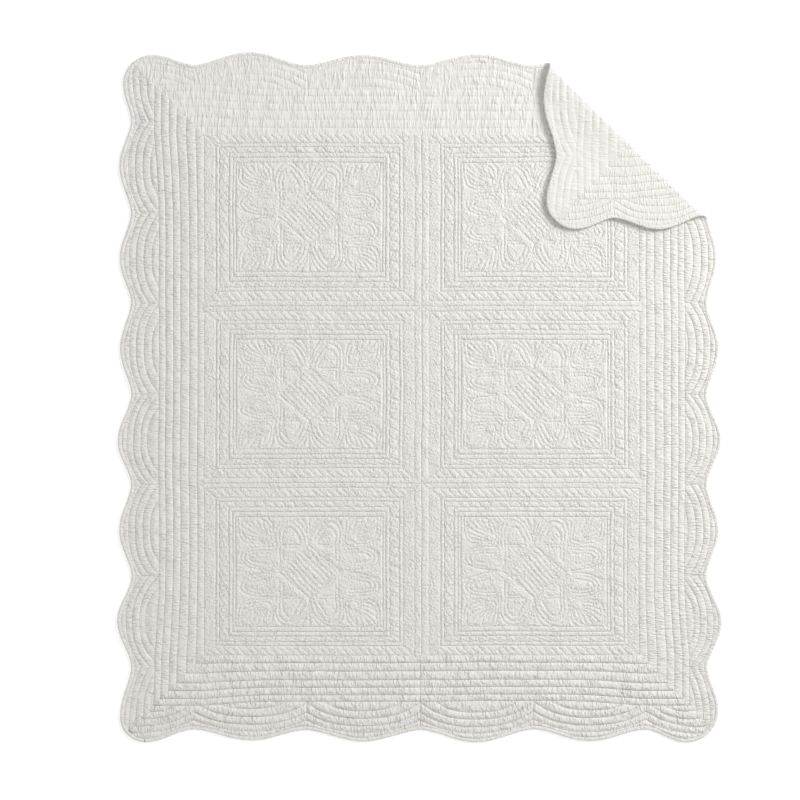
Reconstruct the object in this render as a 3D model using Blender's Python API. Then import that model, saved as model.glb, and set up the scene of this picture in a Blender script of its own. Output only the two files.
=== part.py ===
"""Matelasse throw: a quilted bed cover with a scalloped, bound edge, lying flat with one corner turned over.

The cloth is worked out flat first, as (across, along, height) points, then rolled over at the turned corner.
Metres, +Z up. The origin is under the middle of the whole outline, on the surface the throw lies on.
"""
import math
from collections import namedtuple

import bmesh
import bpy
from mathutils import Vector
from mathutils.geometry import delaunay_2d_cdt
from mathutils.kdtree import KDTree

MM = 0.001
NAME = "Matelasse_throw"

# Whole size. Half sizes run from the middle of the quilted frame to a typical scallop's tip
HALF_WIDTH = 758 * MM
HALF_LENGTH = 868 * MM
SHIFT_ACROSS = -5 * MM
SHIFT_ALONG = -5 * MM

# Heights through the quilt, from its underside
STITCHED = 2.5 * MM
LOFT = 3.2 * MM
BACK_DIMPLE = 0.8 * MM

# Binding: a folded strip that clips the edge, with a clear gap round the cloth
BINDING_WIDTH = 9.4 * MM
BINDING_THICK = 4.6 * MM
BINDING_CLOTH = 1.0 * MM
GAP = 0.3 * MM
EDGE_ROLL = 12.2 * MM  # the quilt's first swelling, in from the edge

# Quilted frame: half sizes of the inner rectangle that the border's lines run round
FRAME_ACROSS = 549 * MM
FRAME_ALONG = 657 * MM
BORDER_LINES = (0.0, 17.2, 38.1, 60.6, 79.0, 98.0, 114.4)  # mm out from that rectangle

# Blocks: three rows of two
BLOCK_HALF_ACROSS = 235.5 * MM
BLOCK_HALF_ALONG = 186.5 * MM
COLUMN_PITCH = 567 * MM
ROW_PITCH = 447 * MM
ROW_SHIFT = 2 * MM

# Turned corner: the line where the cloth rolls over, and how loosely
FOLD_FROM = Vector((319, 844, 0)) * MM
FOLD_TO = Vector((718, 453, 0)) * MM
ROLL_FROM = 10.4 * MM
ROLL_TO = 7.4 * MM
ROLL_STEPS = 6
SETTLED = 14.0 * MM
SETTLE_OVER = 90 * MM

# Edge scallops. reach is how far each full scallop's tip stands past the typical one, in mm
Side = namedtuple("Side", "name turn full pitch middle depth reach")
SIDES = (
    Side("foot", 0, 4, 285.3, -4.7, 29.0, (-2.5, 0.0, 2.5, 0.0)),
    Side("right", 1, 6, 229.1, 2.7, 31.0, (5.8, -1.8, 3.3, -1.8, -6.0, 0.0)),
    Side("head", 2, 4, 285.3, 4.7, 28.5, (0.0, -0.8, -3.3, 4.3)),
    Side("left", 3, 6, 229.1, -2.7, 29.5, (-0.5, -1.8, -1.8, 3.3, 0.8, 5.8)),
)
# Corners, anticlockwise from the foot's right one: how far each stands in from the two sides, and its radius
Corner = namedtuple("Corner", "name inset_across inset_along radius")
CORNERS = (
    Corner("foot_right", 2.0, -2.5, 83),
    Corner("head_right", 3.0, 2.0, 75),
    Corner("head_left", 9.0, 3.0, 74),
    Corner("foot_left", 2.0, -2.5, 65),
)
# Lines that echo the scallops: inset from the tips, share of the scallops' depth, and how sharp the cusps are
Echo = namedtuple("Echo", "name inset share sharp steps raised")
ECHOES = (
    Echo("edge_line", 22.5, 0.68, 1.4, 6, 0.0),
    Echo("outer_ridge", 31.0, 0.72, 1.0, 6, 0.95),
    Echo("outer_arc", 39.7, 0.82, 0.9, 6, 0.0),
    Echo("middle_ridge", 49.2, 0.85, 0.9, 6, 0.9),
    Echo("middle_arc", 58.7, 0.88, 0.9, 6, 0.0),
    Echo("inner_ridge", 68.0, 0.78, 1.0, 4, 0.85),
    Echo("inner_arc", 77.5, 0.55, 1.1, 4, 0.0),
)
# Frame round each block: inset across and along, in mm, from the block's edge
Ring = namedtuple("Ring", "name across along steps raised")
BLOCK_RINGS = (
    Ring("outer_line", 0.0, 0.0, 4, 0.0),
    Ring("double_line", 8.8, 9.3, 4, 0.05),
    Ring("chain_ridge", 21.0, 16.6, 7, 0.8),
    Ring("chain_line", 33.0, 24.0, 4, 0.05),
    Ring("third_line", 43.0, 35.4, 4, 0.05),
    Ring("medallion_edge", 50.5, 48.0, 4, 0.12),
)
# Medallion: outlines for one quarter, as (across, along) from its centre, in mm, and each one's raised middle
Motif = namedtuple("Motif", "name outline middle raised")
MOTIFS = (
    Motif("corner_leaf", ((91, 69), (91, 114), (118, 139), (172, 143), (176, 98), (152, 70)), (134, 108), 1.0),
    Motif("end_lobe", ((4, 74), (34, 132), (62, 137), (84, 118), (84, 72), (48, 62)), (58, 100), 0.9),
    Motif("side_lobe", ((94, 6), (92, 62), (146, 64), (168, 46), (166, 22), (132, 5)), (130, 36), 0.9),
)
DIAMOND = ((68, 0), (34, 18), (16, 32), (0, 57))
DIAMOND_MIDDLE = ((34, 0), (14, 13), (0, 30))

Chain = namedtuple("Chain", "points closed raised")


def turned(point, quarter_turns):
    """A point turned anticlockwise by quarter turns."""
    u, v = point
    for _ in range(quarter_turns % 4):
        u, v = -v, u
    return u, v


def side_distance(side):
    """How far a side's typical scallop tip is from the frame's middle."""
    shift = {"foot": -SHIFT_ALONG, "head": SHIFT_ALONG, "left": -SHIFT_ACROSS, "right": SHIFT_ACROSS}
    half = HALF_LENGTH if side.name in ("foot", "head") else HALF_WIDTH
    return half + shift[side.name]


def corner_insets(index, side):
    """A corner's inset from this side, and the one from its other side."""
    corner = CORNERS[index % 4]
    across, along = corner.inset_across * MM, corner.inset_along * MM
    return (along, across) if side.name in ("foot", "head") else (across, along)


def scallop_ring(inset, share, sharp, steps):
    """A closed ring of points that follows the scalloped edge, inset from the tips."""
    ring = []
    for index, side in enumerate(SIDES):
        out = side_distance(side) - inset
        depth = side.depth * MM * share
        before, after = SIDES[index - 1], SIDES[(index + 1) % 4]
        own_before, other_before = corner_insets(index - 1, side)
        own_after, other_after = corner_insets(index, side)
        radius_before = max(CORNERS[index - 1].radius * MM - inset, 4 * MM)
        radius_after = max(CORNERS[index].radius * MM - inset, 4 * MM)
        start = -(side_distance(before) - inset - other_before - radius_before)
        end = side_distance(after) - inset - other_after - radius_after
        first = side.middle * MM - side.pitch * MM * side.full / 2
        local = []
        half_steps = max(2, steps // 2)
        for i in range(half_steps):
            t = i / half_steps
            rise = math.cos(t * math.pi / 2) ** sharp
            local.append((start + (first - start) * t, out - depth + (depth - own_before) * rise))
        for n in range(side.full):
            for i in range(steps):
                wave = math.sin(math.pi * i / steps) ** sharp
                along = first + (n + i / steps) * side.pitch * MM
                local.append((along, out - depth * (1 - wave) + side.reach[n] * MM * wave * share))
        last = first + side.full * side.pitch * MM
        for i in range(half_steps):
            t = i / half_steps
            rise = math.sin(t * math.pi / 2) ** sharp
            local.append((last + (end - last) * t, out - depth + (depth - own_after) * rise))
        for i in range(steps // 2 + 1):
            angle = math.pi / 2 * i / (steps // 2 + 1)
            local.append((end + radius_after * math.sin(angle),
                          out - own_after - radius_after * (1 - math.cos(angle))))
        ring += [turned((along, -away), index) for along, away in local]
    return ring


def inset_ring(ring, inset):
    """The ring moved inwards, square to itself."""
    moved = []
    for i, point in enumerate(ring):
        before, after = ring[i - 1], ring[(i + 1) % len(ring)]
        run = Vector((after[0] - before[0], after[1] - before[1])).normalized()
        moved.append((point[0] - run.y * inset, point[1] + run.x * inset))
    return moved


def rectangle(half_across, half_along, steps, centre=(0.0, 0.0)):
    """A closed rectangle of points with the same number of steps on each side."""
    corners = ((-1, -1), (1, -1), (1, 1), (-1, 1))
    ring = []
    for i, (su, sv) in enumerate(corners):
        eu, ev = corners[(i + 1) % 4]
        for k in range(steps):
            t = k / steps
            ring.append((centre[0] + half_across * (su + (eu - su) * t),
                         centre[1] + half_along * (sv + (ev - sv) * t)))
    return ring


def line(start, end, steps):
    return [(start[0] + (end[0] - start[0]) * i / steps, start[1] + (end[1] - start[1]) * i / steps)
            for i in range(steps + 1)]


def border_chains():
    """The scallops' echoes, and the straight channels that run round the frame."""
    chains = [Chain(scallop_ring(e.inset * MM, e.share, e.sharp, e.steps), True, e.raised) for e in ECHOES]
    for i, out in enumerate(BORDER_LINES):
        around = rectangle(FRAME_ACROSS + out * MM, FRAME_ALONG + out * MM, 8)
        chains.append(Chain(around, True, 0.0))
        if i + 1 < len(BORDER_LINES):
            middle = (out + BORDER_LINES[i + 1]) / 2 * MM
            chains.append(Chain(rectangle(FRAME_ACROSS + middle, FRAME_ALONG + middle, 11), True, 0.95))
    return chains


def sash_chains():
    """The bands and double channels between the blocks, and the roped band inside the frame."""
    band_across = FRAME_ACROSS - COLUMN_PITCH / 2 - BLOCK_HALF_ACROSS
    band_along = FRAME_ALONG - ROW_PITCH - BLOCK_HALF_ALONG
    chains = [Chain(rectangle(FRAME_ACROSS - band_across / 2, FRAME_ALONG - band_along / 2, 18), True, 0.7)]
    column_edge = COLUMN_PITCH / 2 - BLOCK_HALF_ACROSS
    top = FRAME_ALONG - band_along
    for across, raised in ((0.0, 0.0), (9.0, 0.85), (17.8, 0.0), (32.6, 0.7)):
        for side in (-1, 1) if across else (1,):
            if across * MM < column_edge:
                chains.append(Chain(line((side * across * MM, -top), (side * across * MM, top), 18), False, raised))
    inner = FRAME_ACROSS - band_across
    for row in (-0.5, 0.5):
        middle = ROW_PITCH * row + ROW_SHIFT
        for along, raised in ((0.0, 0.0), (7.0, 0.85), (13.6, 0.0), (25.3, 0.7)):
            for side in (-1, 1) if along else (1,):
                at = middle + side * along * MM
                for left, right in ((-inner, -column_edge), (column_edge, inner)):
                    chains.append(Chain(line((left, at), (right, at), 8), False, raised))
    return chains


def block_chains(centre):
    """One block: its framing lines, then the medallion inside them."""
    chains = []
    for ring in BLOCK_RINGS:
        half = (BLOCK_HALF_ACROSS - ring.across * MM, BLOCK_HALF_ALONG - ring.along * MM)
        chains.append(Chain(rectangle(*half, ring.steps, centre), True, ring.raised))
    for side_u, side_v in ((1, 1), (-1, 1), (-1, -1), (1, -1)):
        for motif in MOTIFS:
            outline = [(centre[0] + side_u * u * MM, centre[1] + side_v * v * MM) for u, v in motif.outline]
            middle = (centre[0] + side_u * motif.middle[0] * MM, centre[1] + side_v * motif.middle[1] * MM)
            chains.append(Chain(outline, True, 0.1))
            chains.append(Chain([middle], False, motif.raised))
    for table, raised in ((DIAMOND, 0.1), (DIAMOND_MIDDLE, 0.8)):
        quarter = [(u, v) for u, v in table]
        loop = quarter + [(-u, v) for u, v in quarter[-2::-1]]
        loop += [(-u, -v) for u, v in quarter[1:]] + [(u, -v) for u, v in quarter[-2:0:-1]]
        chains.append(Chain([(centre[0] + u * MM, centre[1] + v * MM) for u, v in loop], True, raised))
    chains.append(Chain([centre], False, 0.95))
    return chains


def quilting():
    """Every stitched line and every ridge between two of them."""
    chains = border_chains() + sash_chains()
    for row in (-1, 0, 1):
        for column in (-0.5, 0.5):
            chains += block_chains((column * COLUMN_PITCH, row * ROW_PITCH + ROW_SHIFT))
    return chains


def fold_axes():
    """The turned corner's own directions: along the fold, and out towards the corner."""
    along = (FOLD_TO - FOLD_FROM).normalized()
    return along, Vector((-along.y, along.x, 0))


def beyond_fold(u, v):
    along, out = fold_axes()
    return (Vector((u, v, 0)) - FOLD_FROM).dot(out)


def triangulate(outline, chains, keep=lambda point: True):
    """A flat net of triangles inside the outline that has every chain's line among its edges."""
    points, edges, raised = list(outline), [], [0.0] * len(outline)
    for chain in chains:
        start = len(points)
        points += chain.points
        raised += [chain.raised] * len(chain.points)
        count = len(chain.points)
        edges += [(start + i, start + (i + 1) % count) for i in range(count if chain.closed else count - 1)]
    used = {i for edge in edges for i in edge if keep(points[i])}
    used |= set(range(len(outline)))
    used |= {i for i, p in enumerate(points) if keep(p)}
    order = sorted(used)
    index = {old: new for new, old in enumerate(order)}
    kept = [(index[a], index[b]) for a, b in edges if a in index and b in index and a != b]
    net = delaunay_2d_cdt([Vector(points[i]) for i in order], kept,
                          [list(range(len(outline)))], 1, 1e-6)
    heights = [min((raised[order[i]] for i in sources), default=0.1) for sources in net[3]]
    return [(p.x, p.y) for p in net[0]], net[2], heights


def cloth_mesh(edge):
    """The quilt as one closed solid, still flat: its relief on top, a level underside, and a thin edge."""
    rim_top, rim_under = BINDING_CLOTH + GAP + 2.0 * MM, BINDING_CLOTH + GAP
    outer = inset_ring(edge, 1.6 * MM)
    clip = inset_ring(edge, BINDING_WIDTH + 0.4 * MM)
    level = inset_ring(edge, BINDING_WIDTH + 1.6 * MM)
    at_clip = (rim_top - STITCHED) / LOFT
    swelling = Chain(inset_ring(edge, EDGE_ROLL), True, 0.75)
    chains = quilting()
    bm = bmesh.new()

    flat, faces, raised = triangulate(outer, [Chain(clip, True, at_clip), swelling] + chains)
    rims = KDTree(len(outer) + len(clip))
    for i, point in enumerate(outer + clip):
        rims.insert((*point, 0), i)
    rims.balance()
    top = []
    for (u, v), share in zip(flat, raised):
        on_rim = rims.find((u, v, 0))[2] < 0.01 * MM
        top.append(bm.verts.new((u, v, rim_top if on_rim else STITCHED + LOFT * share)))
    for face in faces:
        bm.faces.new([top[i] for i in face])

    flap_only = [Chain(c.points, c.closed, c.raised) for c in chains]
    loops = [Chain(clip, True, 5.0), Chain(level, True, 0.5)]
    ring_points = {(round(u, 7), round(v, 7)) for u, v in clip + level}
    flat, faces, raised = triangulate(
        outer, loops + flap_only,
        keep=lambda p: (round(p[0], 7), round(p[1], 7)) in ring_points or beyond_fold(*p) > 4 * MM)
    under = []
    for (u, v), share in zip(flat, raised):
        if rims.find((u, v, 0))[2] < 0.01 * MM:
            height = rim_under
        elif beyond_fold(u, v) > 4 * MM and share < 0.3:
            height = BACK_DIMPLE
        else:
            height = 0.0
        under.append(bm.verts.new((u, v, height)))
    for face in faces:
        bm.faces.new([under[i] for i in reversed(face)])

    below = KDTree(len(under))
    for i, vert in enumerate(under):
        below.insert((vert.co.x, vert.co.y, 0), i)
    below.balance()
    for rim in [e for e in bm.edges if e.is_boundary and e.verts[0] in set(top)]:
        loop = rim.link_loops[0]
        first, second = loop.vert, loop.link_loop_next.vert
        low_first, low_second = (under[below.find((v.co.x, v.co.y, 0))[1]] for v in (first, second))
        bm.faces.new((second, first, low_first, low_second))
    return bm


def binding_mesh(edge):
    """The binding, still flat: one strip folded round the edge, with a pocket that the cloth fits."""
    inner, thick, wall = BINDING_WIDTH, BINDING_THICK, BINDING_CLOTH
    section = ((inner, 0.0), (0.9 * MM, 0.0), (0.0, thick / 2), (0.9 * MM, thick), (inner, thick),
               (inner, thick - wall), (1.3 * MM, thick - wall), (1.3 * MM, wall), (inner, wall))
    bm = bmesh.new()
    rows = []
    for inset, height in section:
        rows.append([bm.verts.new((u, v, height)) for u, v in inset_ring(edge, inset)])
    count = len(edge)
    for k, row in enumerate(rows):
        following = rows[(k + 1) % len(rows)]
        for i in range(count):
            j = (i + 1) % count
            bm.faces.new((row[i], following[i], following[j], row[j]))
    return bm


def roll_radius(along):
    share = along / (FOLD_TO - FOLD_FROM).length
    return ROLL_FROM + (ROLL_TO - ROLL_FROM) * share


def cut_for_roll(bm):
    """Adds edges along the lines on which the cloth bends."""
    along, out = fold_axes()
    length = (FOLD_TO - FOLD_FROM).length
    for k in range(ROLL_STEPS + 1):
        angle = math.pi * k / ROLL_STEPS
        ends = []
        for at, radius in ((0.0, ROLL_FROM), (length, ROLL_TO)):
            ends.append(FOLD_FROM + along * at + out * (angle * (radius - 1.5 * MM) - radius))
        run = (ends[1] - ends[0]).normalized()
        bmesh.ops.bisect_plane(bm, geom=bm.verts[:] + bm.edges[:] + bm.faces[:], dist=0.02 * MM,
                               plane_co=ends[0], plane_no=Vector((-run.y, run.x, 0)))


def turn_corner(bm):
    """Rolls what lies beyond the fold over onto the cloth."""
    along, out = fold_axes()
    for vert in bm.verts:
        u, v, height = vert.co
        offset = Vector((u, v, 0)) - FOLD_FROM
        at, past = offset.dot(along), offset.dot(out)
        radius = roll_radius(at)
        neutral = radius - 1.5 * MM
        travelled = past + radius
        if travelled <= 0:
            continue
        angle = min(travelled / neutral, math.pi)
        rest = max(travelled - math.pi * neutral, 0.0)
        share = min(rest / SETTLE_OVER, 1.0)
        lift = 2 * radius + (SETTLED - 2 * radius) * share * share * (3 - 2 * share)
        if angle < math.pi:
            reach = (radius - height) * math.sin(angle) - radius
            level = radius - (radius - height) * math.cos(angle)
        else:
            reach = -radius - rest
            level = lift - height
        vert.co = FOLD_FROM + along * at + out * reach + Vector((0, 0, level))


def material(name, colour, roughness):
    made = bpy.data.materials.new(name)
    made.use_nodes = True
    shader = made.node_tree.nodes["Principled BSDF"]
    shader.inputs["Base Color"].default_value = (*colour, 1)
    shader.inputs["Roughness"].default_value = roughness
    shader.inputs["Metallic"].default_value = 0
    return made


def finish(name, bm, look, collection, centre):
    """Puts the corner over, centres the piece and makes it an object."""
    cut_for_roll(bm)
    turn_corner(bm)
    bmesh.ops.triangulate(bm, faces=bm.faces[:])
    bmesh.ops.recalc_face_normals(bm, faces=bm.faces[:])
    bmesh.ops.translate(bm, vec=(-centre[0], -centre[1], 0), verts=bm.verts[:])
    mesh = bpy.data.meshes.new(name)
    bm.to_mesh(mesh)
    bm.free()
    mesh.materials.append(look)
    piece = bpy.data.objects.new(name, mesh)
    collection.objects.link(piece)
    return piece


def outline_centre(edge):
    """The middle of the outline as it lies, with the corner turned."""
    lying = [p for p in edge if beyond_fold(*p) < 0]
    across, along = [p[0] for p in lying], [p[1] for p in lying]
    return (min(across) + max(across)) / 2, (min(along) + max(along)) / 2


def main():
    for old in list(bpy.data.objects):
        bpy.data.objects.remove(old, do_unlink=True)
    collection = bpy.data.collections.new(NAME)
    bpy.context.scene.collection.children.link(collection)
    edge = scallop_ring(0.0, 1.0, 1.7, 8)
    centre = outline_centre(edge)
    cloth = material("quilted_cotton", (0.80, 0.775, 0.735), 0.92)
    tape = material("binding_cotton", (0.82, 0.795, 0.755), 0.85)
    finish("quilted_cloth", cloth_mesh(edge), cloth, collection, centre)
    finish("edge_binding", binding_mesh(edge), tape, collection, centre)


main()
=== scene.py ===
"""Matelasse throw lying flat with one corner turned over: the finished cloth, its binding and its stitching.

The quilt is worked out flat as (across, along) points in metres from the middle of its frame of stitched
lines. relief() gives its height there, and lay() rolls the corner over and sets it in the model's frame.
"""
import math
from collections import namedtuple

import bmesh
import bpy
import numpy as np
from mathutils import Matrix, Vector
from mathutils.geometry import delaunay_2d_cdt


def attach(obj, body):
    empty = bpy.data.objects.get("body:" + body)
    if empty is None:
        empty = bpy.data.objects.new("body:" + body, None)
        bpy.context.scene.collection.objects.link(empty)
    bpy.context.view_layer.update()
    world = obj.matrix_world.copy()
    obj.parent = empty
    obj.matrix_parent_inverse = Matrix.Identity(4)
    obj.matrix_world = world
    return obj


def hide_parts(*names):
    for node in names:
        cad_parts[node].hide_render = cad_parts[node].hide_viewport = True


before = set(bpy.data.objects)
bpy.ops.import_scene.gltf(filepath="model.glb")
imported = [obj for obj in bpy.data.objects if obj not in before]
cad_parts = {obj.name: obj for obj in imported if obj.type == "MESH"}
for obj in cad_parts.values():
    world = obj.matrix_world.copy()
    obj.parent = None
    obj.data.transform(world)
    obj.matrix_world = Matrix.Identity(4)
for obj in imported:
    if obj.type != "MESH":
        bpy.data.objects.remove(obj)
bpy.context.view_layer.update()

MM = 0.001
SEED = 11

# Whole size, from the frame's middle to a typical scallop's tip
HALF_WIDTH = 758 * MM
HALF_LENGTH = 868 * MM
SHIFT_ACROSS = -5 * MM
SHIFT_ALONG = -5 * MM

# The photograph's width in pixels, metres a pixel, and the place on the cloth at its middle
PHOTO_ACROSS = 800
PHOTO_SCALE = 2.525 * MM
PHOTO_MIDDLE = (-54.5 * MM, -11.9 * MM)

# Heights through the quilt, from its underside
STITCHED = 2.4 * MM
LOFT = 2.7 * MM
RIM_TOP = 3.3 * MM
RIM_UNDER = 1.3 * MM
BACK_SINK = 1.75 * MM

# Binding
BINDING_WIDTH = 9.4 * MM
BINDING_REACH = BINDING_WIDTH + 0.4 * MM

# Quilted frame and blocks
FRAME_ACROSS = 549 * MM
FRAME_ALONG = 657 * MM
BORDER_LINES = (0.0, 17.2, 38.1, 60.6, 79.0, 98.0, 114.4)
CORNER_FLARE = (0.0, 4.0, 7.0, 9.0, 10.0, 11.0, 11.5)
FLARE_OVER = 230 * MM
BLOCK_HALF_ACROSS = 235.5 * MM
BLOCK_HALF_ALONG = 186.5 * MM
COLUMN_PITCH = 567 * MM
ROW_PITCH = 447 * MM
ROW_SHIFT = 2 * MM
RINGS_ACROSS = (0.0, 8.8, 33.0, 43.0, 50.5)
RINGS_ALONG = (0.0, 9.3, 24.0, 35.4, 48.0)
BAND_ACROSS = 30.5
BAND_ALONG = 24.0

# Turned corner
FOLD_FROM = Vector((319, 844, 0)) * MM
FOLD_TO = Vector((718, 453, 0)) * MM
ROLL_FROM = 10.4 * MM
ROLL_TO = 7.4 * MM
SETTLED = 14.0 * MM
SETTLE_OVER = 90 * MM

# Stitches along the binding
STITCH_HALF = 1.15 * MM
THREAD_RADIUS = 0.32 * MM
STITCH_SPACING = 3.1 * MM
STITCH_INSET = 8.0 * MM
STITCH_HEIGHT = 4.25 * MM

# Mesh steps
GROOVE = 1.7 * MM
CHANNEL_STEP = 4.6 * MM
ALONG_STEP = 4.0 * MM
SCALLOP_STEP = 4.6 * MM
BLOCK_STEP = 2.3 * MM
EDGE_GAP = 1.6 * MM
PAST_EDGE = 20 * MM
MITRE_EASE = 35 * MM
SNAP = 1.5 * MM

Side = namedtuple("Side", "name turn full pitch middle depth reach loft pucker run")
SIDES = (
    Side("foot", 0, 4, 285.3, -4.7, 29.0, (-2.5, 0.0, 2.5, 0.0), 1.0, 1.6, 26),
    Side("right", 1, 6, 229.1, 2.7, 31.0, (5.8, -1.8, 3.3, -1.8, -6.0, 0.0), 0.52, 0.8, 16),
    Side("head", 2, 4, 285.3, 4.7, 28.5, (0.0, -0.8, -3.3, 4.3), 0.34, 1.9, 60),
    Side("left", 3, 6, 229.1, -2.7, 29.5, (-0.5, -1.8, -1.8, 3.3, 0.8, 5.8), 0.58, 0.7, 16),
)
Corner = namedtuple("Corner", "name inset_across inset_along radius")
CORNERS = (
    Corner("foot_right", 2.0, -2.5, 83),
    Corner("head_right", 3.0, 2.0, 75),
    Corner("head_left", 9.0, 3.0, 74),
    Corner("foot_left", 2.0, -2.5, 65),
)
# Lines that echo the scallops, from the inside out: inset from the tips in mm, share of depth, fullness
Echo = namedtuple("Echo", "name inset share bow")
ECHOES = (
    Echo("inner_arc", 77.5, 2.1, 2.6),
    Echo("middle_arc", 58.7, 1.4, 2.6),
    Echo("outer_arc", 39.7, 1.2, 2.5),
    Echo("edge_line", 22.5, 1.1, 2.2),
)

# Stitched lines of a medallion's upper right quarter, in mm from its centre
Stitched = namedtuple("Stitched", "name closed points")
MEDALLION = (
    Stitched("leaf", True, ((92, 71), (92, 108), (97, 128), (116, 141), (150, 144), (176, 143), (178, 122),
                            (176, 96), (166, 78), (146, 71), (120, 70))),
    Stitched("leaf_inner", True, ((100, 78), (100, 108), (106, 122), (120, 133), (150, 136), (169, 135),
                                  (170, 118), (168, 98), (160, 85), (144, 78))),
    Stitched("end_lobe", False, ((83, 63), (85, 101), (73, 129), (47, 137), (20, 116), (5, 88), (0, 66))),
    Stitched("end_lobe_inner", False, ((74, 66), (76, 100), (66, 120), (47, 127), (27, 109), (12, 80))),
    Stitched("end_heart", False, ((66, 66), (67, 92), (58, 108), (46, 112), (34, 98), (22, 74))),
    Stitched("side_lobe", False, ((91, 63), (139, 61), (167, 50), (173, 33), (157, 13), (126, 5), (96, 2))),
    Stitched("side_lobe_inner", False, ((96, 55), (138, 53), (158, 45), (163, 33), (150, 19), (124, 12))),
    Stitched("side_heart", False, ((100, 46), (132, 46), (148, 40), (151, 32), (140, 25), (112, 20))),
    Stitched("diamond", False, ((78, 0), (58, 16), (39, 33), (19, 50), (0, 66))),
    Stitched("box", False, ((66, 34), (66, 61), (34, 61))),
    Stitched("box_outer", False, ((74, 24), (74, 68), (24, 68))),
    Stitched("fleur", False, ((2, 92), (10, 118), (26, 142))),
    Stitched("fleur_middle", False, ((0, 88), (0, 142))),
    Stitched("side_fleur", False, ((112, 3), (140, 8), (176, 20))),
)
LEAF_STEM = (101, 79)
LEAF_VEINS = ((118, 133), (134, 135), (151, 136), (168, 134), (170, 116), (169, 99), (160, 85))


def random_table(seed):
    return np.random.default_rng(seed).random((128, 128)) * 2 - 1


TABLES = {}


def noise(x, y, seed):
    """Smooth uneven values from -1 to 1, with bumps about one unit across."""
    table = TABLES.setdefault(seed, random_table(SEED + seed))
    x, y = np.broadcast_arrays(x, y)
    column, row = np.floor(x).astype(int), np.floor(y).astype(int)
    fx, fy = x - column, y - row
    fx, fy = fx * fx * (3 - 2 * fx), fy * fy * (3 - 2 * fy)
    a, b = table[row % 128, column % 128], table[row % 128, (column + 1) % 128]
    c, d = table[(row + 1) % 128, column % 128], table[(row + 1) % 128, (column + 1) % 128]
    return (a * (1 - fx) + b * fx) * (1 - fy) + (c * (1 - fx) + d * fx) * fy


def pillow(phase, fullness=5.5):
    """The swelling between two stitched lines, from 0 at each line to 1 between them."""
    return 1 - np.abs(2 * np.clip(phase, 0, 1) - 1) ** fullness


def side_distance(side):
    """From the middle of the frame to a typical scallop's tip, on one side."""
    shift = {"foot": -SHIFT_ALONG, "head": SHIFT_ALONG, "left": -SHIFT_ACROSS, "right": SHIFT_ACROSS}
    half = HALF_LENGTH if side.name in ("foot", "head") else HALF_WIDTH
    return half + shift[side.name]


def frame_distance(side):
    """From the frame's middle out to the frame itself, on one side."""
    return FRAME_ALONG if side.name in ("foot", "head") else FRAME_ACROSS


def corner_insets(index, side):
    """How far a corner stands in from the tips, on the side itself and on its neighbour."""
    corner = CORNERS[index % 4]
    across, along = corner.inset_across * MM, corner.inset_along * MM
    return (along, across) if side.name in ("foot", "head") else (across, along)


def scallop_out(index, s, inset=0.0, share=1.0, bow=None):
    """How far out a line that follows one side's scallops runs, at each place along that side."""
    side, before, after = SIDES[index], SIDES[index - 1], SIDES[(index + 1) % 4]
    out, depth = side_distance(side) - inset, side.depth * MM * share
    first = side.middle * MM - side.pitch * MM * side.full / 2
    last = first + side.full * side.pitch * MM
    turn = (s - first) / (side.pitch * MM)
    n = np.clip(np.floor(turn), 0, side.full - 1).astype(int)
    part = np.clip(turn - n, 0, 1)
    wave = 1 - np.abs(2 * part - 1) ** bow if bow else np.sin(np.pi * part) ** 1.7
    result = out - depth * (1 - wave) + np.array(side.reach)[n] * MM * wave * share
    for neighbour, corner, sign, end_of in ((before, index - 1, -1, first), (after, index, 1, last)):
        own, other = corner_insets(corner, side)
        radius = max(CORNERS[corner % 4].radius * MM - 2.2 * inset, 2 * MM)
        end = sign * (side_distance(neighbour) - inset - other - radius)
        t = np.clip((s - end_of) / (end - end_of), 0, 1)
        rise = 1 - (1 - t) ** bow if bow else np.sin(t * np.pi / 2) ** 1.7
        near = out - depth + (depth - own) * rise
        over = np.clip(sign * (s - end), 0, radius)
        near = near - radius + np.sqrt(np.maximum(radius ** 2 - over ** 2, 0))
        result = np.where(sign * (s - end_of) > 0, near, result)
    return result


def side_coordinates(u, v, turn):
    """Place along a side, and distance out from the middle towards it."""
    for _ in range(turn):
        u, v = v, -u
    return u, -v


def from_side(s, out, turn):
    """The way back from side_coordinates."""
    u, v = s, -out
    for _ in range(turn):
        u, v = -v, u
    return u, v


def edge_inset(u, v):
    """How far each point is inside the scalloped edge, measured straight out."""
    insets = []
    for index, side in enumerate(SIDES):
        s, out = side_coordinates(u, v, side.turn)
        insets.append(scallop_out(index, s) - out)
    return np.minimum.reduce(insets)


def border_ladder(index, s):
    """The stitched lines that cross one place on a side, from the frame out to the binding."""
    side = SIDES[index]
    base = frame_distance(side)
    other = FRAME_ACROSS if side.name in ("foot", "head") else FRAME_ALONG
    near_corner = np.clip((np.abs(s) - other + FLARE_OVER) / FLARE_OVER, 0, 1) ** 2
    lines = [base + (line + flare * near_corner) * MM for line, flare in zip(BORDER_LINES, CORNER_FLARE)]
    for echo in ECHOES:
        lines.append(scallop_out(index, s, echo.inset * MM, echo.share, echo.bow))
    lines.append(scallop_out(index, s) - BINDING_WIDTH - 0.4 * MM)
    for k in range(1, len(lines)):
        lines[k] = np.maximum(lines[k], lines[k - 1] + 0.05 * MM)
    return lines


def nearest_side(u, v):
    """The side whose border a point lies in, parted at the mitred corners."""
    past = []
    for side in SIDES:
        past.append(side_coordinates(u, v, side.turn)[1] - frame_distance(side))
    return np.argmax(past, axis=0)


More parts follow.
